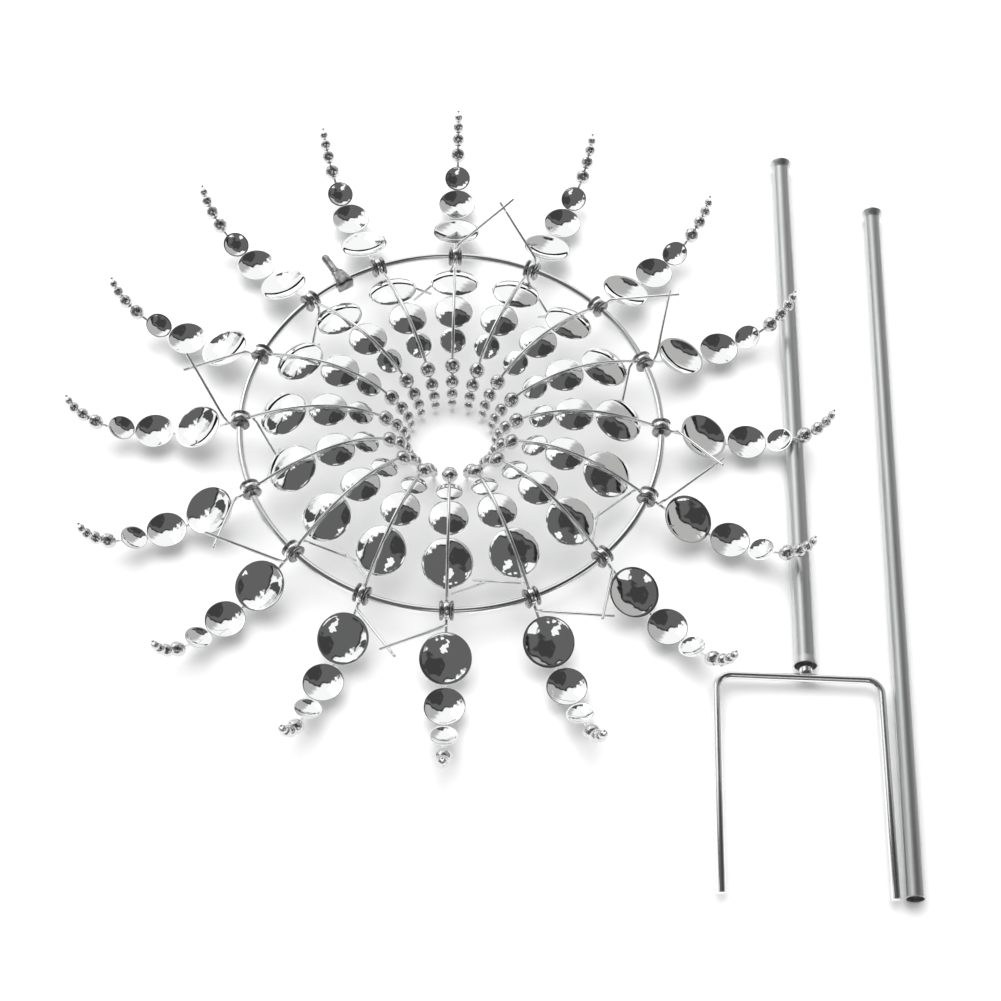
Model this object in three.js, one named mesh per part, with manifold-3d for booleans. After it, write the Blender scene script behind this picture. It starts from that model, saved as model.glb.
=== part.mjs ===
// Kinetic wind sculpture, laid out flat as it comes apart for transport: the rotor head lies on its arms,
// with the lower pole and its ground fork, and the upper pole, beside it.
// Units are millimetres, +Z is up, and the origin is at the middle of the footprint, on the ground.

import * as THREE from 'three';
import { mergeVertices } from 'three/addons/utils/BufferGeometryUtils.js';
import Module from 'manifold-3d';

const wasm = await Module();
wasm.setup();

// ---- driving dimensions ---------------------------------------------------------------------------

const ARM_COUNT = 16;
const ARM_PITCH = (2 * Math.PI) / ARM_COUNT;
const HOOP_RADIUS = 80;
const HOOP_WIRE_RADIUS = 1.4;
const HOOP_HEIGHT = 15; // hoop plane above the ground
const HOOP_SIDES = 8;
const HOOP_STEPS = 64;
const TOUCH_GAP = 0.3; // kept between pieces that touch
const FLAT_TOLERANCE = 0.01; // facets this flat to each other are merged
const WELD_DISTANCE = 1e-4; // corners closer than this are one corner

// An arm half is a wire whose heading climbs with a power of the distance from the hub.
const ARM_WIRE_RADIUS = 0.7; // over the corners of its square section, 0.5 over the flats
const ARM_HALF_LENGTH = 79.8;
const HEADING_AT_HUB = THREE.MathUtils.degToRad(-29.5);
const HEADING_AT_TIP = THREE.MathUtils.degToRad(89);
const HEADING_POWER = 1.7;
const HEADING_SLICES = 60;
const ARM_WIRE_SIDES = 4;
const ARM_HALF_STEPS = 7;

// Dishes soldered along each arm half, largest first: distance along the wire, and rim radius.
const DISHES = [
  { at: 17.5, radius: 9.4, sides: 10 },
  { at: 36, radius: 7.4, sides: 8 },
  { at: 49.2, radius: 5.05, sides: 8 },
  { at: 59.4, radius: 2.6, sides: 4 },
  { at: 65.7, radius: 2.1, sides: 4 },
  { at: 71, radius: 1.75, sides: 4 },
  { at: 75.6, radius: 1.4, sides: 4 },
];
const DISH_DEPTH_RATIO = 0.23; // rise of the rim over the middle, per rim radius
const DISH_THICKNESS = 0.6;
const DISH_SINK = 0.25; // how far a dish is soldered into the wire
const DISH_FLAT_RATIO = 0.5; // flat middle of a large dish, per rim radius
const LARGE_DISH_RADIUS = 4; // dishes over this size have a flat middle

// Hub: a flanged bush turns on the hoop wire and carries the arm's ring between its flanges.
const BUSH_BORE_RADIUS = 1.95;
const BUSH_SLEEVE_RADIUS = 2.45;
const BUSH_FLANGE_RADIUS = 3.7;
const BUSH_FLANGE_WIDTH = 1.2;
const BUSH_LENGTH = 5.4;
const BUSH_SIDES = 9;
const RING_INNER_RADIUS = 2.9;
const RING_OUTER_RADIUS = 3.5;
const RING_WIDTH = 2.2;

// Link wires: each reaches from beside its hub past the middle of the gap to the next arm.
const LINK_WIRE_RADIUS = 0.5;
const LINK_WIRE_SIDES = 4;
const LINK_ROOT_DISTANCE = 5.2; // along the arm from the hinge axis
const LINK_KNEE = new THREE.Vector3(6.4, 1.2, -0.2);
const LINK_CROSSING_RADIUS = 101; // from the middle of the head
const LINK_CROSSING_HEIGHT = 7.6;
const LINK_STAGGER = 1.5; // neighbours pass this far above and below that height
const OUTER_LINK_REACH = 1.18; // length past the knee, per distance from the knee to the crossing
const INNER_LINK_REACH = 0.82; // shorter, because the arms stand closer inside the hoop

// Mounting stub, halfway between the last two arms: a block on the hoop and a pin for the upper pole.
const STUB_NEIGHBOURS = [15, 16];
const STUB_ANGLE = Math.PI / 2 + 1.5 * ARM_PITCH;
const STUB_BLOCK_INNER = 3; // reach inside and outside the hoop line
const STUB_BLOCK_OUTER = 4.6;
const STUB_BLOCK_FOOT = 3.6; // half widths at the inner and the outer face
const STUB_BLOCK_HEAD = 2.1;
const STUB_BLOCK_THICKNESS = 5.2;
const STUB_PIN_RADIUS = 1.6;
const STUB_PIN_TIP_RADIUS = 1.3;
const STUB_PIN_LENGTH = 9.5;
const STUB_PIN_SIDES = 16;

// Poles: open tubes, belled at three of their four ends.
const POLE_WALL = 0.4;
const BELL_LENGTH = 3.5;
const POLE_SIDES = 16;
const LOWER_POLE_RADIUS = 3.95;
const LOWER_POLE_NECK_RADIUS = 3.45; // the top end tapers to this
const LOWER_POLE_NECK_LENGTH = 100;
const LOWER_POLE_BELL_RADIUS = 4.45;
const LOWER_POLE_LENGTH = 235;
const UPPER_POLE_TOP_RADIUS = 3.15;
const UPPER_POLE_FOOT_RADIUS = 3.5;
const UPPER_POLE_BELL_RADIUS = 4.2;
const UPPER_POLE_LENGTH = 297;

// Ground fork: a bent wire with a stem that sits in a sleeve inside the lower pole's end.
const FORK_WIRE_RADIUS = 1.5;
const FORK_WIDTH = 59.4; // between the prongs' centre lines
const FORK_PRONG_LENGTH = 82.5; // from the crossbar's centre line
const FORK_OFFSET = -2.8; // the stem is welded this far from the middle of the crossbar
const FORK_CORNER_RADIUS = 5.5;
const FORK_CORNER_STEPS = 4;
const FORK_WIRE_SIDES = 10;
const STEM_RADIUS = 2.3;
const STEM_LENGTH = 24;
const STEM_SHOWING = 3.2; // between the pole's end and the crossbar
const SLEEVE_LENGTH = 16;
const SLEEVE_INSET = 4.5; // from the pole's end

// Where the poles lie, from the middle of the head: the top end, and the turn from the Y axis.
const LOWER_POLE_TOP = new THREE.Vector2(135.9, 140.4);
const LOWER_POLE_TURN = THREE.MathUtils.degToRad(-1.4);
const UPPER_POLE_TOP = new THREE.Vector2(172.4, 115.2);
const UPPER_POLE_TURN = THREE.MathUtils.degToRad(-2.1);

// ---- materials ------------------------------------------------------------------------------------

function metal(color, roughness) {
  return new THREE.MeshStandardMaterial({ color, roughness, metalness: 1 });
}

const MIRROR = { color: 0xe6e7e8, roughness: 0.08 };
const BRIGHT_WIRE = { color: 0xd8d9da, roughness: 0.18 };
const DARK_BUSH = { color: 0x8f9092, roughness: 0.25 };
const SATIN_TUBE = { color: 0xa9abae, roughness: 0.38 };

// ---- solids ---------------------------------------------------------------------------------------

function toSolid(geometry) {
  const plain = geometry.clone();
  plain.deleteAttribute('normal');
  plain.deleteAttribute('uv');
  const merged = mergeVertices(plain, WELD_DISTANCE);
  return new wasm.Manifold(new wasm.Mesh({
    numProp: 3,
    vertProperties: Float32Array.from(merged.attributes.position.array),
    triVerts: Uint32Array.from(merged.index.array),
  }));
}

function toGeometry(solid) {
  const mesh = solid.getMesh();
  const geometry = new THREE.BufferGeometry();
  geometry.setAttribute('position', new THREE.BufferAttribute(Float32Array.from(mesh.vertProperties), 3));
  geometry.setIndex(new THREE.BufferAttribute(Uint32Array.from(mesh.triVerts), 1));
  return geometry;
}

function join(geometries) {
  const solids = geometries.map((geometry) => toSolid(geometry).asOriginal().simplify(FLAT_TOLERANCE));
  return solids.reduce((whole, next) => whole.add(next));
}

// A path of straight pieces from station to station, with mitred corners.
class StationPath extends THREE.Curve {
  constructor(stations) {
    super();
    this.stations = stations;
  }

  getPoint(share, target = new THREE.Vector3()) {
    const along = share * (this.stations.length - 1);
    const index = Math.min(Math.floor(along), this.stations.length - 2);
    return target.lerpVectors(this.stations[index], this.stations[index + 1], along - index);
  }

  // Steps fall on the stations, whatever the distance between them.
  getUtoTmapping(share) {
    return share;
  }
}

function bentWire(stations, radius, sides) {
  const corners = [];
  for (let i = 0; i < sides; i += 1) {
    const angle = (2 * Math.PI * (i + 0.5)) / sides;
    corners.push(new THREE.Vector2(radius * Math.cos(angle), radius * Math.sin(angle)));
  }
  const extrudePath = new StationPath(stations);
  return new THREE.ExtrudeGeometry(new THREE.Shape(corners), { steps: stations.length - 1, extrudePath });
}

// A solid of revolution about Y. The outline starts and ends on the axis, or closes on itself.
function turned(outline, sides) {
  return new THREE.LatheGeometry(outline.map(([radius, height]) => new THREE.Vector2(radius, height)), sides);
}

function addPiece(parent, name, geometry, { color, roughness }) {
  const mesh = new THREE.Mesh(geometry, metal(color, roughness));
  mesh.name = name;
  parent.add(mesh);
}

// ---- arm, in the frame of its hub: X away from the head's middle, Y along the hinge, Z up -----------

function headingAt(distance) {
  const share = distance / ARM_HALF_LENGTH;
  return HEADING_AT_HUB + (HEADING_AT_TIP - HEADING_AT_HUB) * share ** HEADING_POWER;
}

function pointAlongArm(distance) {
  const slice = distance / HEADING_SLICES;
  const point = new THREE.Vector3();
  for (let i = 0; i < HEADING_SLICES; i += 1) {
    const heading = headingAt((i + 0.5) * slice);
    point.x += slice * Math.cos(heading);
    point.z += slice * Math.sin(heading);
  }
  return point;
}

// The inner half is the outer half turned half a turn about the hinge.
function turnedHalf(geometry) {
  return geometry.clone().rotateY(Math.PI);
}

function armWire() {
  const stations = [];
  for (let i = -ARM_HALF_STEPS; i <= ARM_HALF_STEPS; i += 1) {
    const point = pointAlongArm((Math.abs(i) / ARM_HALF_STEPS) * ARM_HALF_LENGTH);
    stations.push(point.multiplyScalar(Math.sign(i)));
  }
  return bentWire(stations, ARM_WIRE_RADIUS, ARM_WIRE_SIDES);
}

function dish({ at, radius, sides }) {
  const depth = radius * DISH_DEPTH_RATIO;
  const flat = radius * DISH_FLAT_RATIO;
  const outline = radius > LARGE_DISH_RADIUS
    ? [[0, 0], [flat, 0], [radius, depth], [flat, DISH_THICKNESS], [0, DISH_THICKNESS]]
    : [[0, 0], [radius, depth], [0, DISH_THICKNESS]];
  const point = pointAlongArm(at);
  const heading = headingAt(at);
  const lift = ARM_WIRE_RADIUS - DISH_SINK;
  return turned(outline, sides)
    .rotateX(Math.PI / 2)
    .rotateY(-heading)
    .translate(point.x - lift * Math.sin(heading), 0, point.z + lift * Math.cos(heading));
}

function hubRing() {
  const half = RING_WIDTH / 2;
  return turned([
    [RING_INNER_RADIUS, -half],
    [RING_OUTER_RADIUS, -half],
    [RING_OUTER_RADIUS, half],
    [RING_INNER_RADIUS, half],
    [RING_INNER_RADIUS, -half],
  ], BUSH_SIDES);
}

// A link wire on the outer half. side is the sign of Y that it reaches towards.
function linkWire(side, stagger, reach) {
  const crossing = new THREE.Vector3(
    LINK_CROSSING_RADIUS * Math.cos(ARM_PITCH / 2) - HOOP_RADIUS,
    side * LINK_CROSSING_RADIUS * Math.sin(ARM_PITCH / 2),
    LINK_CROSSING_HEIGHT + stagger,
  );
  const knee = new THREE.Vector3(LINK_KNEE.x, side * LINK_KNEE.y, LINK_KNEE.z);
  const tip = knee.clone().lerp(crossing, reach);
  return bentWire([pointAlongArm(LINK_ROOT_DISTANCE), knee, tip], LINK_WIRE_RADIUS, LINK_WIRE_SIDES);
}

// Odd arms link outside the hoop with the next arm clockwise, and inside it with the one before.
// The stub's neighbours have no outer link wire, because the stub stands in its place.
function armSolid(number) {
  const isOdd = number % 2 === 1;
  const side = isOdd ? -1 : 1;
  const stagger = isOdd ? LINK_STAGGER : -LINK_STAGGER;
  const links = [turnedHalf(linkWire(-side, stagger, INNER_LINK_REACH))];
  if (!STUB_NEIGHBOURS.includes(number)) {
    links.push(linkWire(side, stagger, OUTER_LINK_REACH));
  }
  const bore = new THREE.CylinderGeometry(RING_INNER_RADIUS, RING_INNER_RADIUS, BUSH_LENGTH, BUSH_SIDES);
  const dishes = DISHES.map(dish);
  const wire = toSolid(armWire()).subtract(toSolid(bore));
  return wire.add(join([hubRing(), ...links, ...dishes, ...dishes.map(turnedHalf)]));
}

function bush() {
  const half = BUSH_LENGTH / 2;
  const shoulder = half - BUSH_FLANGE_WIDTH;
  return turned([
    [BUSH_BORE_RADIUS, -half],
    [BUSH_FLANGE_RADIUS, -half],
    [BUSH_FLANGE_RADIUS, -shoulder],
    [BUSH_SLEEVE_RADIUS, -shoulder],
    [BUSH_SLEEVE_RADIUS, shoulder],
    [BUSH_FLANGE_RADIUS, shoulder],
    [BUSH_FLANGE_RADIUS, half],
    [BUSH_BORE_RADIUS, half],
    [BUSH_BORE_RADIUS, -half],
  ], BUSH_SIDES);
}

// ---- head -----------------------------------------------------------------------------------------

function hoop(wireRadius) {
  return new THREE.TorusGeometry(HOOP_RADIUS, wireRadius, HOOP_SIDES, HOOP_STEPS);
}

// In the stub's frame X runs out through the hoop, from the head's middle.
function stubBlock() {
  const outline = new THREE.Shape([
    new THREE.Vector2(HOOP_RADIUS - STUB_BLOCK_INNER, -STUB_BLOCK_FOOT),
    new THREE.Vector2(HOOP_RADIUS + STUB_BLOCK_OUTER, -STUB_BLOCK_HEAD),
    new THREE.Vector2(HOOP_RADIUS + STUB_BLOCK_OUTER, STUB_BLOCK_HEAD),
    new THREE.Vector2(HOOP_RADIUS - STUB_BLOCK_INNER, STUB_BLOCK_FOOT),
  ]);
  const block = new THREE.ExtrudeGeometry(outline, { depth: STUB_BLOCK_THICKNESS, bevelEnabled: false })
    .translate(0, 0, -STUB_BLOCK_THICKNESS / 2);
  const passage = hoop(HOOP_WIRE_RADIUS + TOUCH_GAP).rotateZ(-STUB_ANGLE);
  return toGeometry(toSolid(block).subtract(toSolid(passage)));
}

function stubPin() {
  const chamfer = STUB_PIN_RADIUS - STUB_PIN_TIP_RADIUS;
  return turned([
    [0, 0],
    [STUB_PIN_RADIUS, 0],
    [STUB_PIN_RADIUS, STUB_PIN_LENGTH - chamfer],
    [STUB_PIN_TIP_RADIUS, STUB_PIN_LENGTH],
    [0, STUB_PIN_LENGTH],
  ], STUB_PIN_SIDES)
    .rotateZ(-Math.PI / 2)
    .translate(HOOP_RADIUS + STUB_BLOCK_OUTER + TOUCH_GAP, 0, 0);
}

function head() {
  const group = new THREE.Group();
  addPiece(group, 'hoop', hoop(HOOP_WIRE_RADIUS), BRIGHT_WIRE);
  for (let number = 1; number <= ARM_COUNT; number += 1) {
    const angle = Math.PI / 2 - (number - 1) * ARM_PITCH;
    const hub = new THREE.Group();
    hub.position.set(HOOP_RADIUS * Math.cos(angle), HOOP_RADIUS * Math.sin(angle), 0);
    hub.rotation.z = angle;
    const label = String(number).padStart(2, '0');
    addPiece(hub, `arm_${label}`, toGeometry(armSolid(number)), MIRROR);
    addPiece(hub, `bush_${label}`, bush(), DARK_BUSH);
    group.add(hub);
  }
  const stub = new THREE.Group();
  stub.rotation.z = STUB_ANGLE;
  addPiece(stub, 'stub_block', stubBlock(), DARK_BUSH);
  addPiece(stub, 'stub_pin', stubPin(), DARK_BUSH);
  group.add(stub);
  return group;
}

// ---- poles and fork, each in a frame whose Y runs up the pole, from the pole's top end --------------

// A tube between the stations of its outer wall, from the bottom end to the top.
function tube(outerWall) {
  const innerWall = outerWall.map(([radius, height]) => [radius - POLE_WALL, height]).reverse();
  return turned([...outerWall, ...innerWall, outerWall[0]], POLE_SIDES);
}

function lowerPole() {
  return tube([
    [LOWER_POLE_BELL_RADIUS, -LOWER_POLE_LENGTH],
    [LOWER_POLE_RADIUS, BELL_LENGTH - LOWER_POLE_LENGTH],
    [LOWER_POLE_RADIUS, -LOWER_POLE_NECK_LENGTH],
    [LOWER_POLE_NECK_RADIUS, -BELL_LENGTH],
    [LOWER_POLE_BELL_RADIUS, 0],
  ]);
}

function upperPole() {
  return tube([
    [UPPER_POLE_FOOT_RADIUS, -UPPER_POLE_LENGTH],
    [UPPER_POLE_TOP_RADIUS, -BELL_LENGTH],
    [UPPER_POLE_BELL_RADIUS, 0],
  ]);
}

const CROSSBAR_HEIGHT = -LOWER_POLE_LENGTH - STEM_SHOWING - FORK_WIRE_RADIUS;

function forkWire() {
  const half = [new THREE.Vector3(FORK_WIDTH / 2, CROSSBAR_HEIGHT - FORK_PRONG_LENGTH, 0)];
  for (let i = 0; i <= FORK_CORNER_STEPS; i += 1) {
    const angle = (i / FORK_CORNER_STEPS) * (Math.PI / 2);
    half.push(new THREE.Vector3(
      FORK_WIDTH / 2 + FORK_CORNER_RADIUS * (Math.cos(angle) - 1),
      CROSSBAR_HEIGHT + FORK_CORNER_RADIUS * (Math.sin(angle) - 1),
      0,
    ));
  }
  const otherHalf = half.map((station) => new THREE.Vector3(-station.x, station.y, 0)).reverse();
  return bentWire([...half, ...otherHalf], FORK_WIRE_RADIUS, FORK_WIRE_SIDES).translate(FORK_OFFSET, 0, 0);
}

function forkStem() {
  const middle = CROSSBAR_HEIGHT + FORK_WIRE_RADIUS + TOUCH_GAP + STEM_LENGTH / 2;
  return new THREE.CylinderGeometry(STEM_RADIUS, STEM_RADIUS, STEM_LENGTH, POLE_SIDES).translate(0, middle, 0);
}

function stemSleeve() {
  const bottom = SLEEVE_INSET - LOWER_POLE_LENGTH;
  const top = bottom + SLEEVE_LENGTH;
  const outer = (LOWER_POLE_RADIUS - POLE_WALL) * Math.cos(Math.PI / POLE_SIDES) - TOUCH_GAP;
  const inner = STEM_RADIUS + TOUCH_GAP;
  return turned([[inner, bottom], [outer, bottom], [outer, top], [inner, top], [inner, bottom]], POLE_SIDES);
}

// The pieces' lowest edges touch the ground.
function poleGroup(top, turn, restRadius) {
  const group = new THREE.Group();
  group.position.set(top.x, top.y, restRadius - HOOP_HEIGHT);
  group.rotation.z = turn;
  return group;
}

function lowerPoleAndFork() {
  const group = poleGroup(LOWER_POLE_TOP, LOWER_POLE_TURN, LOWER_POLE_BELL_RADIUS);
  addPiece(group, 'lower_pole', lowerPole(), SATIN_TUBE);
  addPiece(group, 'fork', forkWire(), BRIGHT_WIRE);
  addPiece(group, 'fork_stem', forkStem(), BRIGHT_WIRE);
  addPiece(group, 'stem_sleeve', stemSleeve(), DARK_BUSH);
  return group;
}

function upperPoleLying() {
  const group = poleGroup(UPPER_POLE_TOP, UPPER_POLE_TURN, UPPER_POLE_BELL_RADIUS);
  addPiece(group, 'upper_pole', upperPole(), SATIN_TUBE);
  return group;
}

// ---- assembly -------------------------------------------------------------------------------------

const model = new THREE.Group();
model.add(head(), lowerPoleAndFork(), upperPoleLying());

const box = new THREE.Box3().setFromObject(model, true);
const middle = box.getCenter(new THREE.Vector3());
model.position.set(-middle.x, -middle.y, -box.min.z);

export default model;
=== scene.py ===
"""Kinetic wind sculpture, laid out in pieces on a pale studio floor.

The head is a hoop with sixteen dished arms, each turning on a flanged bush. The lower pole with its
ground fork, and the upper pole, lie beside it. Metres, +Z up, in the same frame as the CAD.
"""

import math

import bmesh
import bpy
from mathutils import Matrix, Vector


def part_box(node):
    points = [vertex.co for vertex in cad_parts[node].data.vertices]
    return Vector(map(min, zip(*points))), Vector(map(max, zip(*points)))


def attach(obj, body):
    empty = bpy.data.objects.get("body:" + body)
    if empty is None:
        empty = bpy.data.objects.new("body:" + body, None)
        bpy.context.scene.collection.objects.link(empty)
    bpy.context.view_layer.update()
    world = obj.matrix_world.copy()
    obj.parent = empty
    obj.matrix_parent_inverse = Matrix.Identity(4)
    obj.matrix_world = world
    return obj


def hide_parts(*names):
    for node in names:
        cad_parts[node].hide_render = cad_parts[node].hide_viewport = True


MM = 0.001

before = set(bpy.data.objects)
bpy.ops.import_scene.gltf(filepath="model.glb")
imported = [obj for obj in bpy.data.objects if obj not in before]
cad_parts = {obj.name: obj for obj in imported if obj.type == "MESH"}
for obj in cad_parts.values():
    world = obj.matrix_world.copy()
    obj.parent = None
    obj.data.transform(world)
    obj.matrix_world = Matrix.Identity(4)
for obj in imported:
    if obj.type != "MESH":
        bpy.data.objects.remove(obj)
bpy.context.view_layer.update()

hoop_low, hoop_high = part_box("hoop")
HEAD = (Vector(hoop_low) + Vector(hoop_high)) / 2

# ---- camera ----------------------------------------------------------------------------------------

CAMERA_FROM_HEAD = Vector((0.00857, -0.41436, 0.63879))
CAMERA_TARGET_FROM_HEAD = Vector((0.01905, -0.03344, 0.0))
CAMERA_ROLL = math.radians(2.4)
SENSOR = 36.0
LENS = 71.93


def add_camera():
    data = bpy.data.cameras.new("camera")
    data.sensor_width = SENSOR
    data.lens = LENS
    data.clip_end = 50.0
    data.dof.use_dof = False
    camera = bpy.data.objects.new("camera", data)
    bpy.context.collection.objects.link(camera)
    sight = CAMERA_TARGET_FROM_HEAD - CAMERA_FROM_HEAD
    level = sight.to_track_quat("-Z", "Y").to_matrix().to_4x4()
    roll = Matrix.Rotation(CAMERA_ROLL, 4, "Z")
    camera.matrix_world = Matrix.Translation(HEAD + CAMERA_FROM_HEAD) @ level @ roll
    bpy.context.scene.camera = camera


add_camera()

# ---- dimensions of the head, in millimetres ----------------------------------------------------------
# Places and outer sizes are the CAD's. The wires, sheet, bores, rings and beads differ a little from its
# facets, because these meshes are smooth and finer.

ARM_COUNT = 16
ARM_PITCH = 2 * math.pi / ARM_COUNT
HOOP_RADIUS = 80.0
HOOP_WIRE_RADIUS = 1.4
HOOP_STEPS = 256
HOOP_SIDES = 20
ARM_WIRE_RADIUS = 0.62
ARM_HALF_LENGTH = 79.8
HEADING_AT_HUB = math.radians(-29.5)
HEADING_AT_TIP = math.radians(89.0)
HEADING_POWER = 1.7
HEADING_SLICES = 60
ARM_HALF_STEPS = 36

# Distance along the wire and radius of each dish on an arm half. The small ones are beads.
DISHES = ((17.5, 9.4), (36.0, 7.4), (49.2, 5.05), (59.4, 3.1), (65.7, 2.7), (71.0, 2.3), (75.6, 1.8))
LARGE_DISH_RADIUS = 4.0
DISH_DEPTH_RATIO = 0.235
BEAD_FLATNESS = 0.85
DISH_SHEET = 0.32
DISH_SINK = 0.12
RIM_ROLL_OUT = 0.42  # of the sheet's thickness
RIM_ROLL_UP = 0.3

BUSH_BORE = 1.55
BUSH_SLEEVE = 2.45
BUSH_COLLAR = 3.7
BUSH_LENGTH = 5.4
COLLAR_STEPS = 12
COLLAR_FULLNESS = 0.7  # below 1 squares up the round collars
RING_INNER = 2.5
RING_OUTER = 3.5
RING_WIDTH = 2.0
RING_BORE_CHAMFER = 0.15
RING_EDGE = 0.4  # rounding of the outer edge, along the hinge and then across it
RING_EDGE_ACROSS = 0.35
RING_SIDE_GAP = 0.15
WIRE_SINK_IN_RING = 0.6

LINK_WIRE_RADIUS = 0.55
LINK_WIRE_SIDES = 12
LINK_ROOT_DISTANCE = 5.2
LINK_KNEE = Vector((6.4, 1.2, -0.2))
LINK_KNEE_BEND = 0.8
LINK_CROSSING_RADIUS = 101.0
LINK_CROSSING_HEIGHT = 7.6
LINK_STAGGER = 1.5
OUTER_LINK_REACH = 1.18
INNER_LINK_REACH = 0.82
STUB_NEIGHBOURS = (15, 16)

# ---- mesh helpers ------------------------------------------------------------------------------------


def smooth_object(name, mesh, material, sharp_angle=40.0):
    mesh.validate()
    for polygon in mesh.polygons:
        polygon.use_smooth = True
    mesh.set_sharp_from_angle(angle=math.radians(sharp_angle))
    mesh.materials.append(material)
    piece = bpy.data.objects.new(name, mesh)
    bpy.context.collection.objects.link(piece)
    return piece


def to_metres(bm, matrix):
    """Takes a bmesh in millimetres, in a local frame, to metres in the row frame."""
    bmesh.ops.transform(bm, matrix=matrix, verts=bm.verts)
    bmesh.ops.scale(bm, vec=(MM, MM, MM), verts=bm.verts)
    bmesh.ops.translate(bm, vec=HEAD, verts=bm.verts)


def make_piece(name, build, matrix, material, sharp_angle=40.0):
    bm = bmesh.new()
    build(bm)
    to_metres(bm, matrix)
    bmesh.ops.recalc_face_normals(bm, faces=bm.faces)
    mesh = bpy.data.meshes.new(name)
    bm.to_mesh(mesh)
    bm.free()
    return smooth_object(name, mesh, material, sharp_angle)


def add_sweep(bm, points, radius, sides=14, cap_rings=3, cap_depth=0.8, place=Matrix.Identity(4)):
    """A round wire along points, with domed ends."""
    tangents = []
    for i, point in enumerate(points):
        before = points[max(i - 1, 0)]
        after = points[min(i + 1, len(points) - 1)]
        tangents.append((after - before).normalized())
    side = tangents[0].orthogonal().normalized()
    rings = []

    def ring(centre, tangent, size):
        other = tangent.cross(side).normalized()
        loop = []
        for k in range(sides):
            angle = 2 * math.pi * k / sides
            offset = side * math.cos(angle) + other * math.sin(angle)
            loop.append(bm.verts.new(place @ (centre + offset * size)))
        rings.append(loop)

    for k in range(cap_rings, 0, -1):
        slope = k / (cap_rings + 0.5) * math.pi / 2
        depth = radius * cap_depth * math.sin(slope)
        ring(points[0] - tangents[0] * (depth - radius * cap_depth), tangents[0], radius * math.cos(slope))
    for i, point in enumerate(points):
        tangent = tangents[i]
        side = (side - tangent * side.dot(tangent)).normalized()
        centre = point
        if i == 0:
            centre = point + tangent * radius * cap_depth
        elif i == len(points) - 1:
            centre = point - tangent * radius * cap_depth
        ring(centre, tangent, radius)
    for k in range(1, cap_rings + 1):
        slope = k / (cap_rings + 0.5) * math.pi / 2
        depth = radius * cap_depth * math.sin(slope)
        end = points[-1] + tangents[-1] * (depth - radius * cap_depth)
        ring(end, tangents[-1], radius * math.cos(slope))
    for lower, upper in zip(rings, rings[1:]):
        for k in range(sides):
            after = (k + 1) % sides
            bm.faces.new((lower[k], lower[after], upper[after], upper[k]))
    bm.faces.new(list(reversed(rings[0])))
    bm.faces.new(rings[-1])


def add_lathe(bm, outline, segments, place=Matrix.Identity(4)):
    """A closed outline of (radius, height) points turned about local Z. A radius of 0 is on the axis."""
    rows = []
    for radius, height in outline:
        if radius < 1e-6:
            rows.append([bm.verts.new(place @ Vector((0.0, 0.0, height)))])
            continue
        row = []
        for k in range(segments):
            angle = 2 * math.pi * k / segments
            corner = Vector((radius * math.cos(angle), radius * math.sin(angle), height))
            row.append(bm.verts.new(place @ corner))
        rows.append(row)
    closed = outline[0][0] > 1e-6
    pairs = list(zip(rows, rows[1:]))
    if closed:
        pairs.append((rows[-1], rows[0]))
    for low, high in pairs:
        for k in range(segments):
            after = (k + 1) % segments
            if len(low) == 1 and len(high) == 1:
                continue
            if len(low) == 1:
                bm.faces.new((low[0], high[after], high[k]))
            elif len(high) == 1:
                bm.faces.new((low[k], low[after], high[0]))
            else:
                bm.faces.new((low[k], low[after], high[after], high[k]))


def rounded_path(corners, radius, steps=5):
    """The corner points with each inner corner rounded off."""
    path = [corners[0]]
    for before, corner, after in zip(corners, corners[1:], corners[2:]):
        back = (before - corner).normalized()
        ahead = (after - corner).normalized()
        reach = min(radius, (before - corner).length / 2, (after - corner).length / 2)
        start = corner + back * reach
        end = corner + ahead * reach
        for k in range(steps + 1):
            share = k / steps
            path.append(start.lerp(corner, share).lerp(corner.lerp(end, share), share))
    path.append(corners[-1])
    return path


# ---- arm, in the frame of its hub: X away from the head's middle, Y along the hinge, Z up --------------

TURNED_HALF = Matrix.Rotation(math.pi, 4, "Y")
ALONG_HINGE = Matrix.Rotation(math.pi / 2, 4, "X")
SMALL_TURNED_SIDES = 40
DISH_SIDES = 56
DISH_RINGS = 9
BEAD_SIDES = 28
BEAD_STEPS = 14


def heading_at(distance):
    share = distance / ARM_HALF_LENGTH
    return HEADING_AT_HUB + (HEADING_AT_TIP - HEADING_AT_HUB) * share ** HEADING_POWER


def point_along_arm(distance):
    point = Vector((0.0, 0.0, 0.0))
    step = distance / HEADING_SLICES
    for i in range(HEADING_SLICES):
        heading = heading_at((i + 0.5) * step)
        point += Vector((math.cos(heading), 0.0, math.sin(heading))) * step
    return point


def cap_outline(radius, depth, sheet, rings):
    """A thin spherical cap that opens upwards, with a rolled rim, from the axis and back to it."""
    sphere = (radius * radius + depth * depth) / (2 * depth)
    half_angle = math.asin(radius / sphere)
    under, over = [], []
    for k in range(rings + 1):
        angle = half_angle * k / rings
        under.append((sphere * math.sin(angle), sphere * (1 - math.cos(angle))))
        inner = sphere - sheet
        reach = inner * math.sin(angle)
        over.append((reach, sphere - inner * math.cos(angle)))
    rim_radius, rim_height = under[-1]
    lip_radius, lip_height = over[-1]
    middle = (rim_radius + lip_radius) / 2 + sheet * RIM_ROLL_OUT
    lip = [(middle, (rim_height + lip_height) / 2 + sheet * RIM_ROLL_UP)]
    return under + lip + list(reversed(over))


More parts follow.
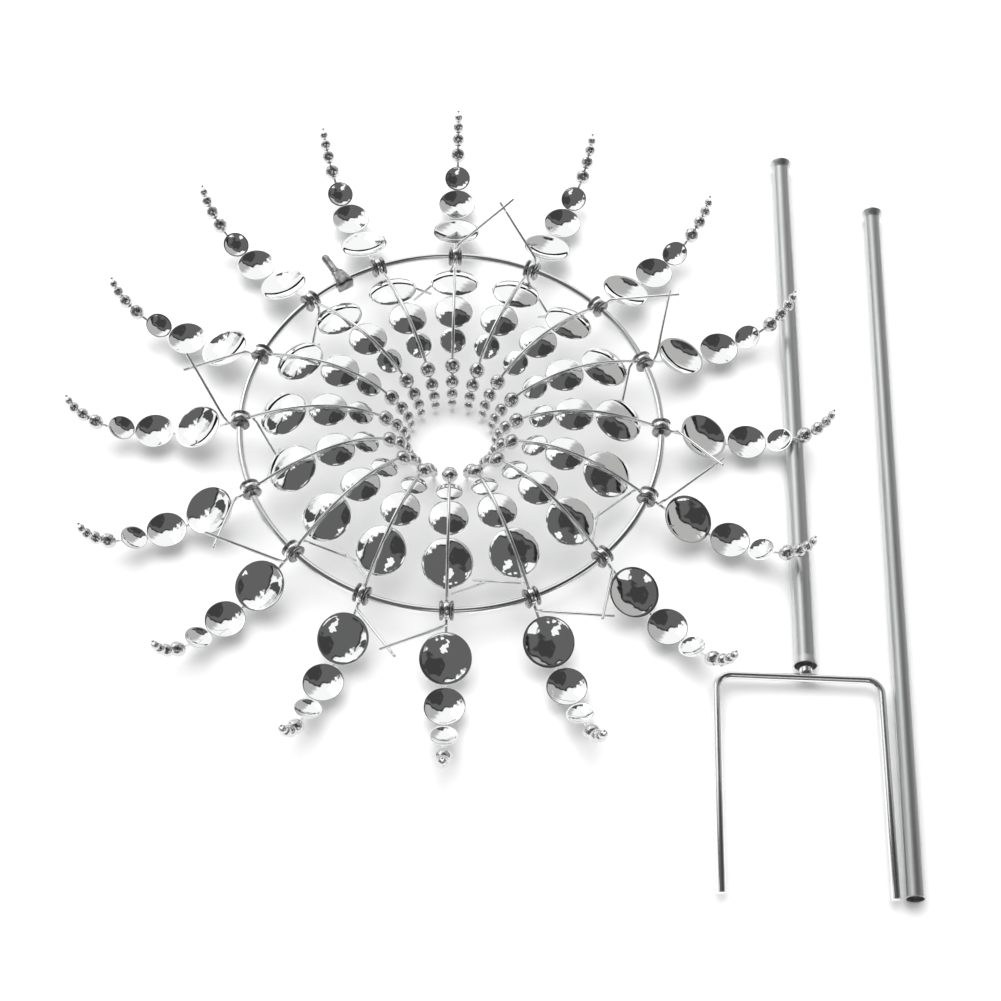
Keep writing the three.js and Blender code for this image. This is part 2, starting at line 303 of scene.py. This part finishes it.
def add_dish(bm, distance, radius, place):
    outline = cap_outline(radius, radius * DISH_DEPTH_RATIO, DISH_SHEET, DISH_RINGS)
    heading = heading_at(distance)
    normal = Vector((-math.sin(heading), 0.0, math.cos(heading)))
    centre = point_along_arm(distance) + normal * (ARM_WIRE_RADIUS - DISH_SINK)
    stand = Matrix.Translation(centre) @ Matrix.Rotation(-heading, 4, "Y")
    add_lathe(bm, outline, DISH_SIDES, place @ stand)


def add_bead(bm, distance, radius, place):
    """A slightly flattened ball, threaded on the wire."""
    outline = []
    for k in range(BEAD_STEPS + 1):
        angle = math.pi * k / BEAD_STEPS
        outline.append((radius * math.sin(angle), -radius * BEAD_FLATNESS * math.cos(angle)))
    stand = Matrix.Translation(point_along_arm(distance)) @ Matrix.Rotation(-heading_at(distance), 4, "Y")
    add_lathe(bm, outline, BEAD_SIDES, place @ stand)


def build_dishes(bm):
    for place in (Matrix.Identity(4), TURNED_HALF):
        for distance, radius in DISHES:
            if radius > LARGE_DISH_RADIUS:
                add_dish(bm, distance, radius, place)


def build_beads(bm):
    for place in (Matrix.Identity(4), TURNED_HALF):
        for distance, radius in DISHES:
            if radius < LARGE_DISH_RADIUS:
                add_bead(bm, distance, radius, place)


def link_points(side, stagger, reach):
    """A link wire's run, from the arm's wire past the point where it crosses its neighbour's."""
    crossing = Vector((
        LINK_CROSSING_RADIUS * math.cos(ARM_PITCH / 2) - HOOP_RADIUS,
        side * LINK_CROSSING_RADIUS * math.sin(ARM_PITCH / 2),
        LINK_CROSSING_HEIGHT + stagger,
    ))
    knee = Vector((LINK_KNEE.x, side * LINK_KNEE.y, LINK_KNEE.z))
    corners = [point_along_arm(LINK_ROOT_DISTANCE), knee, knee.lerp(crossing, reach)]
    return rounded_path(corners, LINK_KNEE_BEND)


def build_arm_wires(number):
    odd = number % 2 == 1
    side = -1.0 if odd else 1.0
    stagger = LINK_STAGGER if odd else -LINK_STAGGER

    def build(bm):
        for place in (Matrix.Identity(4), TURNED_HALF):
            start = RING_OUTER - WIRE_SINK_IN_RING
            run = ARM_HALF_LENGTH - start
            points = [point_along_arm(start + run * i / ARM_HALF_STEPS) for i in range(ARM_HALF_STEPS + 1)]
            add_sweep(bm, points, ARM_WIRE_RADIUS, place=place)
        inner_link = link_points(-side, stagger, INNER_LINK_REACH)
        add_sweep(bm, inner_link, LINK_WIRE_RADIUS, LINK_WIRE_SIDES, place=TURNED_HALF)
        if number not in STUB_NEIGHBOURS:
            outer_link = link_points(side, stagger, OUTER_LINK_REACH)
            add_sweep(bm, outer_link, LINK_WIRE_RADIUS, LINK_WIRE_SIDES)
        add_ring(bm)

    return build


def add_ring(bm):
    """The arm's ring, which turns between the bush's collars: a short band with rounded edges."""
    half = RING_WIDTH / 2
    outline = [
        (RING_INNER, -half + RING_BORE_CHAMFER),
        (RING_INNER + RING_BORE_CHAMFER, -half),
        (RING_OUTER - RING_EDGE_ACROSS, -half),
        (RING_OUTER - 0.1, -half + 0.12),
        (RING_OUTER, -half + RING_EDGE),
        (RING_OUTER, half - RING_EDGE),
        (RING_OUTER - 0.1, half - 0.12),
        (RING_OUTER - RING_EDGE_ACROSS, half),
        (RING_INNER + RING_BORE_CHAMFER, half),
        (RING_INNER, half - RING_BORE_CHAMFER),
    ]
    add_lathe(bm, outline, SMALL_TURNED_SIDES, ALONG_HINGE)


def build_bush(bm):
    """Two ball-like collars on a sleeve."""
    half = BUSH_LENGTH / 2
    inner_edge = RING_WIDTH / 2 + RING_SIDE_GAP
    collar_middle = (half + inner_edge) / 2
    collar_half = (half - inner_edge) / 2
    outline = [(BUSH_BORE, -half)]
    for sign in (-1, 1):
        for k in range(COLLAR_STEPS + 1):
            angle = math.pi * (k / COLLAR_STEPS - 0.5)
            bulge = 0.0
            if 0 < k < COLLAR_STEPS:
                bulge = (BUSH_COLLAR - BUSH_SLEEVE) * math.cos(angle) ** COLLAR_FULLNESS
            outline.append((BUSH_SLEEVE + bulge, sign * collar_middle + collar_half * math.sin(angle)))
    outline.append((BUSH_BORE, half))
    add_lathe(bm, outline, SMALL_TURNED_SIDES, ALONG_HINGE)


# ---- materials ---------------------------------------------------------------------------------------


def new_metal(name, color, roughness):
    material = bpy.data.materials.new(name)
    material.use_nodes = True
    shader = material.node_tree.nodes["Principled BSDF"]
    shader.inputs["Metallic"].default_value = 1.0
    shader.inputs["Base Color"].default_value = (*color, 1.0)
    shader.inputs["Roughness"].default_value = roughness
    return material, shader


def add_noise(tree, scale, detail=3.0, stretch=(1.0, 1.0, 1.0)):
    coordinates = tree.nodes.new("ShaderNodeTexCoord")
    mapping = tree.nodes.new("ShaderNodeMapping")
    mapping.inputs["Scale"].default_value = stretch
    noise = tree.nodes.new("ShaderNodeTexNoise")
    noise.inputs["Scale"].default_value = scale
    noise.inputs["Detail"].default_value = detail
    tree.links.new(coordinates.outputs["Object"], mapping.inputs["Vector"])
    tree.links.new(mapping.outputs["Vector"], noise.inputs["Vector"])
    return noise


def vary_roughness(tree, shader, noise, low, high):
    spread = tree.nodes.new("ShaderNodeMapRange")
    spread.inputs["From Min"].default_value = 0.3
    spread.inputs["From Max"].default_value = 0.7
    spread.inputs["To Min"].default_value = low
    spread.inputs["To Max"].default_value = high
    tree.links.new(noise.outputs["Fac"], spread.inputs["Value"])
    tree.links.new(spread.outputs["Result"], shader.inputs["Roughness"])


def add_bump(tree, shader, noise, strength, distance):
    bump = tree.nodes.new("ShaderNodeBump")
    bump.inputs["Strength"].default_value = strength
    bump.inputs["Distance"].default_value = distance
    tree.links.new(noise.outputs["Fac"], bump.inputs["Height"])
    tree.links.new(bump.outputs["Normal"], shader.inputs["Normal"])


def mirror_steel():
    """Stamped mirror sheet: sharp reflections, bent a little by the stamping."""
    material, shader = new_metal("mirror_steel", (0.93, 0.935, 0.94), 0.04)
    tree = material.node_tree
    vary_roughness(tree, shader, add_noise(tree, 160.0), 0.015, 0.06)
    add_bump(tree, shader, add_noise(tree, 130.0, 1.0), 0.35, 0.0004)
    return material


def bright_wire():
    """Drawn wire: bright, with fine die marks."""
    material, shader = new_metal("bright_wire", (0.88, 0.885, 0.89), 0.12)
    tree = material.node_tree
    vary_roughness(tree, shader, add_noise(tree, 900.0), 0.08, 0.2)
    add_bump(tree, shader, add_noise(tree, 1500.0, 2.0), 0.1, 0.0001)
    return material


def dark_steel():
    """The turned bushes and the stub: polished, with a brown-grey tarnish in random patches."""
    material, shader = new_metal("dark_steel", (0.5, 0.5, 0.5), 0.12)
    tree = material.node_tree
    noise = add_noise(tree, 400.0, 4.0)
    ramp = tree.nodes.new("ShaderNodeValToRGB")
    ramp.color_ramp.elements[0].position = 0.35
    ramp.color_ramp.elements[0].color = (0.16, 0.158, 0.155, 1.0)
    ramp.color_ramp.elements[1].position = 0.65
    ramp.color_ramp.elements[1].color = (0.46, 0.46, 0.46, 1.0)
    tree.links.new(noise.outputs["Fac"], ramp.inputs["Fac"])
    tree.links.new(ramp.outputs["Color"], shader.inputs["Base Color"])
    vary_roughness(tree, shader, add_noise(tree, 700.0), 0.06, 0.2)
    return material


def satin_tube():
    """Satin tube: drawn along its length, with faint long streaks."""
    material, shader = new_metal("satin_tube", (0.63, 0.635, 0.64), 0.36)
    tree = material.node_tree
    streaks = add_noise(tree, 600.0, 3.0, (1.0, 0.02, 1.0))
    vary_roughness(tree, shader, streaks, 0.32, 0.42)
    add_bump(tree, shader, streaks, 0.12, 0.0001)
    return material


def bead_steel_painted_shade():
    """The small beads at the tips: more dented than the dishes, and darker, with painted shade: the
    dishes' steel given a darker base colour.
    """
    # painted shade: a darker base colour on the dishes' steel, for the shade the small beads show
    material, shader = new_metal("bead_steel_painted_shade", (0.68, 0.68, 0.68), 0.06)
    tree = material.node_tree
    vary_roughness(tree, shader, add_noise(tree, 500.0), 0.03, 0.12)
    add_bump(tree, shader, add_noise(tree, 650.0, 2.0), 0.6, 0.0005)
    return material


MIRROR = mirror_steel()
# the beads' material carries painted shade, a darker base colour than the dishes'
SHADED_BEAD = bead_steel_painted_shade()
WIRE = bright_wire()
DARK = dark_steel()
SATIN = satin_tube()

# ---- head --------------------------------------------------------------------------------------------


DISH_SHARP_ANGLE = 60.0


def hub_place(angle):
    out = Vector((math.cos(angle), math.sin(angle), 0.0)) * HOOP_RADIUS
    return Matrix.Translation(out) @ Matrix.Rotation(angle, 4, "Z")


def stand_in(piece, body, slot, *nodes):
    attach(piece, body)
    if nodes:
        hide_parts(*nodes)


for number in range(1, ARM_COUNT + 1):
    label = f"{number:02d}"
    body = f"arm_{label}"
    place = hub_place(math.pi / 2 - (number - 1) * ARM_PITCH)
    wires = make_piece(f"wires_{label}", build_arm_wires(number), place, WIRE)
    stand_in(wires, body, "mirror_steel", f"arm_{label}")
    dishes = make_piece(f"dishes_{label}", build_dishes, place, MIRROR, DISH_SHARP_ANGLE)
    stand_in(dishes, body, "mirror_steel")
    beads = make_piece(f"beads_{label}", build_beads, place, SHADED_BEAD, DISH_SHARP_ANGLE)
    stand_in(beads, body, "mirror_steel")
    bush = make_piece(f"collars_{label}", build_bush, place, DARK)
    stand_in(bush, body, "dark_steel", f"bush_{label}")


def build_hoop(bm):
    rows = []
    for i in range(HOOP_STEPS):
        angle = 2 * math.pi * i / HOOP_STEPS
        out = Vector((math.cos(angle), math.sin(angle), 0.0))
        row = []
        for k in range(HOOP_SIDES):
            turn = 2 * math.pi * k / HOOP_SIDES
            reach = HOOP_RADIUS + HOOP_WIRE_RADIUS * math.cos(turn)
            row.append(bm.verts.new(out * reach + Vector((0.0, 0.0, HOOP_WIRE_RADIUS * math.sin(turn)))))
        rows.append(row)
    for i in range(HOOP_STEPS):
        ahead = rows[(i + 1) % HOOP_STEPS]
        for k in range(HOOP_SIDES):
            after = (k + 1) % HOOP_SIDES
            bm.faces.new((rows[i][k], rows[i][after], ahead[after], ahead[k]))


hoop = make_piece("hoop_wire", build_hoop, Matrix.Identity(4), WIRE)
stand_in(hoop, "head", "bright_wire", "hoop")

# ---- stub --------------------------------------------------------------------------------------------

STUB_ANGLE = math.pi / 2 + 1.5 * ARM_PITCH
STUB_INNER = HOOP_RADIUS - 3.0
STUB_OUTER = HOOP_RADIUS + 4.6
STUB_FOOT = 3.6
STUB_HEAD = 2.1
STUB_THICKNESS = 5.2
STUB_BEVEL = 0.9
STUB_BEVEL_STEPS = 5
STUB_SHARP_ANGLE = 35.0
STUB_PIN_RADIUS = 1.6
STUB_PIN_SHOULDER = 1.95
STUB_PIN_TIP_RADIUS = 1.3
STUB_PIN_LENGTH = 9.5
SEAT_GAP = 0.3


def build_stub_block(bm):
    half = STUB_THICKNESS / 2
    corners = [
        (STUB_INNER, -STUB_FOOT),
        (STUB_OUTER, -STUB_HEAD),
        (STUB_OUTER, STUB_HEAD),
        (STUB_INNER, STUB_FOOT),
    ]
    low = [bm.verts.new((x, y, -half)) for x, y in corners]
    high = [bm.verts.new((x, y, half)) for x, y in corners]
    bm.faces.new(low)
    bm.faces.new(high)
    for k in range(4):
        after = (k + 1) % 4
        bm.faces.new((low[k], low[after], high[after], high[k]))
    edges = list(bm.edges)
    bmesh.ops.bevel(
        bm, geom=edges, offset=STUB_BEVEL, segments=STUB_BEVEL_STEPS, profile=0.5, affect="EDGES"
    )


def build_stub_pin(bm):
    length = STUB_PIN_LENGTH
    outline = [
        (0.0, 0.0),
        (STUB_PIN_SHOULDER, 0.0),
        (STUB_PIN_SHOULDER, 0.7),
        (STUB_PIN_RADIUS + 0.1, 1.0),
        (STUB_PIN_RADIUS, 1.3),
        (STUB_PIN_RADIUS, length - 1.2),
        (STUB_PIN_RADIUS - 0.12, length - 0.6),
        (STUB_PIN_TIP_RADIUS + 0.1, length - 0.15),
        (STUB_PIN_TIP_RADIUS, length),
        (0.0, length),
    ]
    seat = Matrix.Translation(Vector((STUB_OUTER + SEAT_GAP, 0.0, 0.0)))
    add_lathe(bm, outline, SMALL_TURNED_SIDES, seat @ Matrix.Rotation(math.pi / 2, 4, "Y"))


STUB_PLACE = Matrix.Rotation(STUB_ANGLE, 4, "Z")
block = make_piece("stub_block_cast", build_stub_block, STUB_PLACE, DARK, STUB_SHARP_ANGLE)
stand_in(block, "head", "dark_steel", "stub_block")
pin = make_piece("stub_pin_turned", build_stub_pin, STUB_PLACE, DARK)
stand_in(pin, "head", "dark_steel", "stub_pin")

# ---- poles and fork, each in a frame whose Y runs up the pole, from the pole's top end ------------------
# The sizes are the CAD's, but the lower pole tapers along its whole length here and not only near its top,
# and the bells are 0.1 mm longer.

POLE_WALL = 0.4
POLE_LIP = 0.12
BELL_LENGTH = 3.6
BELL_STEPS = 8
LOWER_TOP = (135.9, 140.4)
LOWER_TURN = math.radians(-1.4)
LOWER_RADIUS = 3.95
LOWER_NECK_RADIUS = 3.45
LOWER_BELL_RADIUS = 4.45
LOWER_LENGTH = 235.0
UPPER_TOP = (172.4, 115.2)
UPPER_TURN = math.radians(-2.1)
UPPER_TOP_RADIUS = 3.15
UPPER_FOOT_RADIUS = 3.5
UPPER_BELL_RADIUS = 4.2
UPPER_LENGTH = 297.0
FORK_WIRE_RADIUS = 1.5
FORK_WIDTH = 59.4
FORK_PRONG_LENGTH = 82.5
FORK_OFFSET = -2.8
FORK_CORNER_RADIUS = 5.5
FORK_CORNER_STEPS = 12
FORK_WIRE_SIDES = 20
STEM_RADIUS = 2.3
STEM_LENGTH = 24.0
STEM_SHOWING = 3.2
STEM_SIDES = 36
WELD_RADIUS = 0.62
WELD_HALF_LENGTH = 2.2
WELD_STEPS = 8
WELD_SIDES = 12
WELD_UP = FORK_WIRE_RADIUS * 0.62  # from the crossbar's middle, towards the stem
WELD_OUT = FORK_WIRE_RADIUS * 0.72
TUBE_SIDES = 48
CROSSBAR = -LOWER_LENGTH - STEM_SHOWING - FORK_WIRE_RADIUS
HOOP_HEIGHT = HEAD.z / MM


def pole_place(top, turn, rest_radius):
    stand = Matrix.Translation(Vector((*top, rest_radius - HOOP_HEIGHT)))
    return stand @ Matrix.Rotation(turn, 4, "Z")


LOWER_PLACE = pole_place(LOWER_TOP, LOWER_TURN, LOWER_BELL_RADIUS)
UPPER_PLACE = pole_place(UPPER_TOP, UPPER_TURN, UPPER_BELL_RADIUS)
ALONG_Y = Matrix.Rotation(-math.pi / 2, 4, "X")


def tube_outline(outer):
    """The outer wall from the bottom end to the top, with rounded lips, and the bore back down."""
    first_radius, first_height = outer[0]
    last_radius, last_height = outer[-1]
    walls = [(first_radius - POLE_LIP, first_height), (first_radius, first_height + POLE_LIP)]
    walls += outer[1:-1]
    walls += [(last_radius, last_height - POLE_LIP), (last_radius - POLE_LIP, last_height)]
    bore = [(radius - POLE_WALL, height) for radius, height in outer]
    return walls + list(reversed(bore))


def bell(radius, bell_radius, end, towards):
    """Stations of a soft flare from the tube's radius out to the bell's, ending at the pole's end."""
    stations = []
    for k in range(BELL_STEPS + 1):
        share = k / BELL_STEPS
        ease = share * share * (3 - 2 * share)
        height = end - towards * BELL_LENGTH * (1 - share)
        stations.append((radius + (bell_radius - radius) * ease, height))
    return stations


def build_lower_pole(bm):
    foot = list(reversed(bell(LOWER_RADIUS, LOWER_BELL_RADIUS, -LOWER_LENGTH, -1)))
    top = bell(LOWER_NECK_RADIUS, LOWER_BELL_RADIUS, 0.0, 1)
    add_lathe(bm, tube_outline(foot + top), TUBE_SIDES, ALONG_Y)


def build_upper_pole(bm):
    foot = [(UPPER_FOOT_RADIUS, -UPPER_LENGTH)]
    top = bell(UPPER_TOP_RADIUS, UPPER_BELL_RADIUS, 0.0, 1)
    add_lathe(bm, tube_outline(foot + top), TUBE_SIDES, ALONG_Y)


def build_fork(bm):
    half = FORK_WIDTH / 2
    foot = CROSSBAR - FORK_PRONG_LENGTH
    arc = []
    for k in range(FORK_CORNER_STEPS + 1):
        angle = math.pi / 2 * k / FORK_CORNER_STEPS
        arc.append(Vector((
            half + FORK_CORNER_RADIUS * (math.cos(angle) - 1),
            CROSSBAR + FORK_CORNER_RADIUS * (math.sin(angle) - 1),
            0.0,
        )))
    right = [Vector((half, foot, 0.0)), Vector((half, (foot + CROSSBAR) / 2, 0.0))] + arc
    left = [Vector((-point.x, point.y, 0.0)) for point in reversed(right)]
    middle = Vector((FORK_OFFSET, 0.0, 0.0))
    points = [point + middle for point in right + left]
    add_sweep(bm, points, FORK_WIRE_RADIUS, FORK_WIRE_SIDES, cap_rings=4, cap_depth=0.35)


def build_stem(bm):
    bottom = CROSSBAR + FORK_WIRE_RADIUS + SEAT_GAP
    top = bottom + STEM_LENGTH
    outline = [
        (0.0, bottom),
        (STEM_RADIUS - 0.3, bottom),
        (STEM_RADIUS, bottom + 0.3),
        (STEM_RADIUS, top - 0.5),
        (STEM_RADIUS - 0.5, top),
        (0.0, top),
    ]
    add_lathe(bm, outline, STEM_SIDES, ALONG_Y)


def build_weld(bm):
    """The two weld beads between the stem's foot and the crossbar, one on each side."""
    for sign in (-1, 1):
        bead = []
        for k in range(WELD_STEPS + 1):
            share = k / WELD_STEPS * 2 - 1
            bead.append(Vector((share * WELD_HALF_LENGTH, CROSSBAR + WELD_UP, sign * WELD_OUT)))
        add_sweep(bm, bead, WELD_RADIUS, WELD_SIDES, cap_depth=1.0)


lower = make_piece("lower_tube", build_lower_pole, LOWER_PLACE, SATIN)
stand_in(lower, "lower_pole", "satin_tube", "lower_pole")
upper = make_piece("upper_tube", build_upper_pole, UPPER_PLACE, SATIN)
stand_in(upper, "upper_pole", "satin_tube", "upper_pole")
fork = make_piece("fork_wire", build_fork, LOWER_PLACE, WIRE)
stand_in(fork, "lower_pole", "bright_wire", "fork")
stem = make_piece("stem_rod", build_stem, LOWER_PLACE, WIRE)
stand_in(stem, "lower_pole", "bright_wire", "fork_stem")
weld = make_piece("stem_weld", build_weld, LOWER_PLACE, WIRE)
stand_in(weld, "lower_pole", "bright_wire")

# The sleeve stays the CAD's own mesh, since it is hidden inside the pole's foot.
sleeve_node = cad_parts["stem_sleeve"]
for material_slot in sleeve_node.material_slots:
    material_slot.material = DARK

# ---- studio ------------------------------------------------------------------------------------------

FLOOR_RADIUS = 0.95
FLOOR_DROP = 0.0002  # keeps the floor just under the pieces
BAND_DISTANCE = 6.0
BAND_HEIGHT = 0.75
BAND_SIDES = 48
SOFTBOX_SIZE = 3.8

# Round patches on the white room, painted in order: direction, radius and soft edge in degrees, colour.
ROOM_PATCHES = (
    ((-0.75, 0.45, 0.5), 16.0, 5.0, (0.62, 0.62, 0.62)),  # pale grey, left
    ((-0.9, -0.35, 0.25), 13.0, 3.0, (0.3, 0.3, 0.3)),  # grey, left and low
    ((-0.88, 0.2, 0.44), 9.0, 1.5, (0.08, 0.08, 0.08)),  # dark spot, left
    ((0.9, 0.35, 0.5), 42.0, 8.0, (0.47, 0.47, 0.46)),  # grey wall, right
    ((0.1, -0.42, 0.9), 60.0, 1.5, (0.02, 0.02, 0.02)),  # dark edge of the ceiling
    ((0.1, -0.42, 0.9), 56.0, 2.0, (0.125, 0.125, 0.125)),  # ceiling over the camera
    ((0.45, -0.1, 0.88), 24.0, 3.0, (0.05, 0.05, 0.05)),  # its darkest part
    ((0.62, -0.5, 0.6), 11.0, 2.0, (1.0, 1.0, 1.0)),  # window in the ceiling
    ((0.05, -0.55, 0.84), 3.0, 1.0, (1.0, 1.0, 1.0)),  # lamp in the ceiling
    ((-0.55, 0.53, 0.6), 14.0, 4.0, (1.8, 1.8, 1.8)),  # bright panel that draws the poles' stripe
)
ROOM_WHITE = (1.0, 1.0, 1.0, 1.0)
ROOM_NOISE_SCALE = 2.2
ROOM_NOISE_DETAIL = 2.0
ROOM_BEND = 0.5  # how far the noise bends the patches' edges


def add_floor():
    material = bpy.data.materials.new("floor_white")
    material.use_nodes = True
    shader = material.node_tree.nodes["Principled BSDF"]
    shader.inputs["Base Color"].default_value = (0.86, 0.86, 0.86, 1.0)
    shader.inputs["Roughness"].default_value = 0.9
    shader.inputs["Specular IOR Level"].default_value = 0.1
    bm = bmesh.new()
    bmesh.ops.create_circle(bm, cap_ends=True, segments=96, radius=FLOOR_RADIUS)
    mesh = bpy.data.meshes.new("floor")
    bm.to_mesh(mesh)
    bm.free()
    mesh.materials.append(material)
    floor = bpy.data.objects.new("floor", mesh)
    floor.location = (0.0, 0.0, -FLOOR_DROP)
    bpy.context.collection.objects.link(floor)


def add_dark_band():
    """A low dark band round the studio, seen only in the metal, where it draws dark edges."""
    material = bpy.data.materials.new("band_black")
    material.use_nodes = True
    shader = material.node_tree.nodes["Principled BSDF"]
    shader.inputs["Base Color"].default_value = (0.01, 0.01, 0.01, 1.0)
    shader.inputs["Roughness"].default_value = 1.0
    shader.inputs["Specular IOR Level"].default_value = 0.0
    bm = bmesh.new()
    rows = []
    for k in range(BAND_SIDES):
        angle = 2 * math.pi * k / BAND_SIDES
        foot = Vector((math.cos(angle), math.sin(angle), 0.0)) * BAND_DISTANCE
        rows.append((bm.verts.new(foot), bm.verts.new(foot + Vector((0.0, 0.0, BAND_HEIGHT)))))
    for k in range(BAND_SIDES):
        low, high = rows[k]
        next_low, next_high = rows[(k + 1) % BAND_SIDES]
        bm.faces.new((low, high, next_high, next_low))
    mesh = bpy.data.meshes.new("dark_band")
    bm.to_mesh(mesh)
    bm.free()
    mesh.materials.append(material)
    band = bpy.data.objects.new("dark_band", mesh)
    band.visible_camera = False
    band.visible_diffuse = False
    band.visible_shadow = False
    bpy.context.collection.objects.link(band)


def add_softbox(name, location, power):
    """A square soft light that points at the middle of the floor and is not seen in the metal."""
    data = bpy.data.lights.new(name, "AREA")
    data.size = SOFTBOX_SIZE
    data.energy = power
    lamp = bpy.data.objects.new(name, data)
    lamp.location = location
    lamp.rotation_euler = (-Vector(location)).to_track_quat("-Z", "Y").to_euler()
    lamp.visible_glossy = False
    bpy.context.collection.objects.link(lamp)


def add_world():
    """A white room with the patches painted on it, their edges bent by a slow noise."""
    world = bpy.data.worlds.new("studio")
    bpy.context.scene.world = world
    world.use_nodes = True
    tree = world.node_tree
    background = tree.nodes["Background"]
    coordinates = tree.nodes.new("ShaderNodeTexCoord")
    noise = tree.nodes.new("ShaderNodeTexNoise")
    noise.inputs["Scale"].default_value = ROOM_NOISE_SCALE
    noise.inputs["Detail"].default_value = ROOM_NOISE_DETAIL
    tree.links.new(coordinates.outputs["Generated"], noise.inputs["Vector"])
    centred = tree.nodes.new("ShaderNodeVectorMath")
    centred.operation = "SUBTRACT"
    centred.inputs[1].default_value = (0.5, 0.5, 0.5)
    tree.links.new(noise.outputs["Color"], centred.inputs[0])
    uneven = tree.nodes.new("ShaderNodeVectorMath")
    uneven.operation = "MULTIPLY_ADD"
    uneven.inputs[1].default_value = (ROOM_BEND, ROOM_BEND, ROOM_BEND)
    tree.links.new(centred.outputs["Vector"], uneven.inputs[0])
    tree.links.new(coordinates.outputs["Generated"], uneven.inputs[2])

    def patch(below, direction, radius_deg, edge_deg, level):
        """Paints a round patch of a grey level over what is below it."""
        dot = tree.nodes.new("ShaderNodeVectorMath")
        dot.operation = "DOT_PRODUCT"
        dot.inputs[1].default_value = Vector(direction).normalized()
        tree.links.new(uneven.outputs["Vector"], dot.inputs[0])
        mask = tree.nodes.new("ShaderNodeMapRange")
        mask.interpolation_type = "SMOOTHSTEP"
        mask.inputs["From Min"].default_value = math.cos(math.radians(radius_deg + edge_deg))
        mask.inputs["From Max"].default_value = math.cos(math.radians(radius_deg - edge_deg))
        tree.links.new(dot.outputs["Value"], mask.inputs["Value"])
        mix = tree.nodes.new("ShaderNodeMix")
        mix.data_type = "RGBA"
        tree.links.new(mask.outputs["Result"], mix.inputs["Factor"])
        if below is None:
            mix.inputs["A"].default_value = ROOM_WHITE
        else:
            tree.links.new(below, mix.inputs["A"])
        mix.inputs["B"].default_value = (*level, 1.0)
        return mix.outputs["Result"]

    room = None
    for direction, radius_deg, edge_deg, level in ROOM_PATCHES:
        room = patch(room, direction, radius_deg, edge_deg, level)
    tree.links.new(room, background.inputs["Color"])
    background.inputs["Strength"].default_value = 1.0


add_floor()
add_dark_band()
add_world()
add_softbox("key", (-0.8, 1.0, 3.0), 118.0)
add_softbox("fill", (0.8, 1.4, 3.0), 70.0)

scene = bpy.context.scene
scene.view_settings.view_transform = "Standard"
scene.view_settings.look = "None"
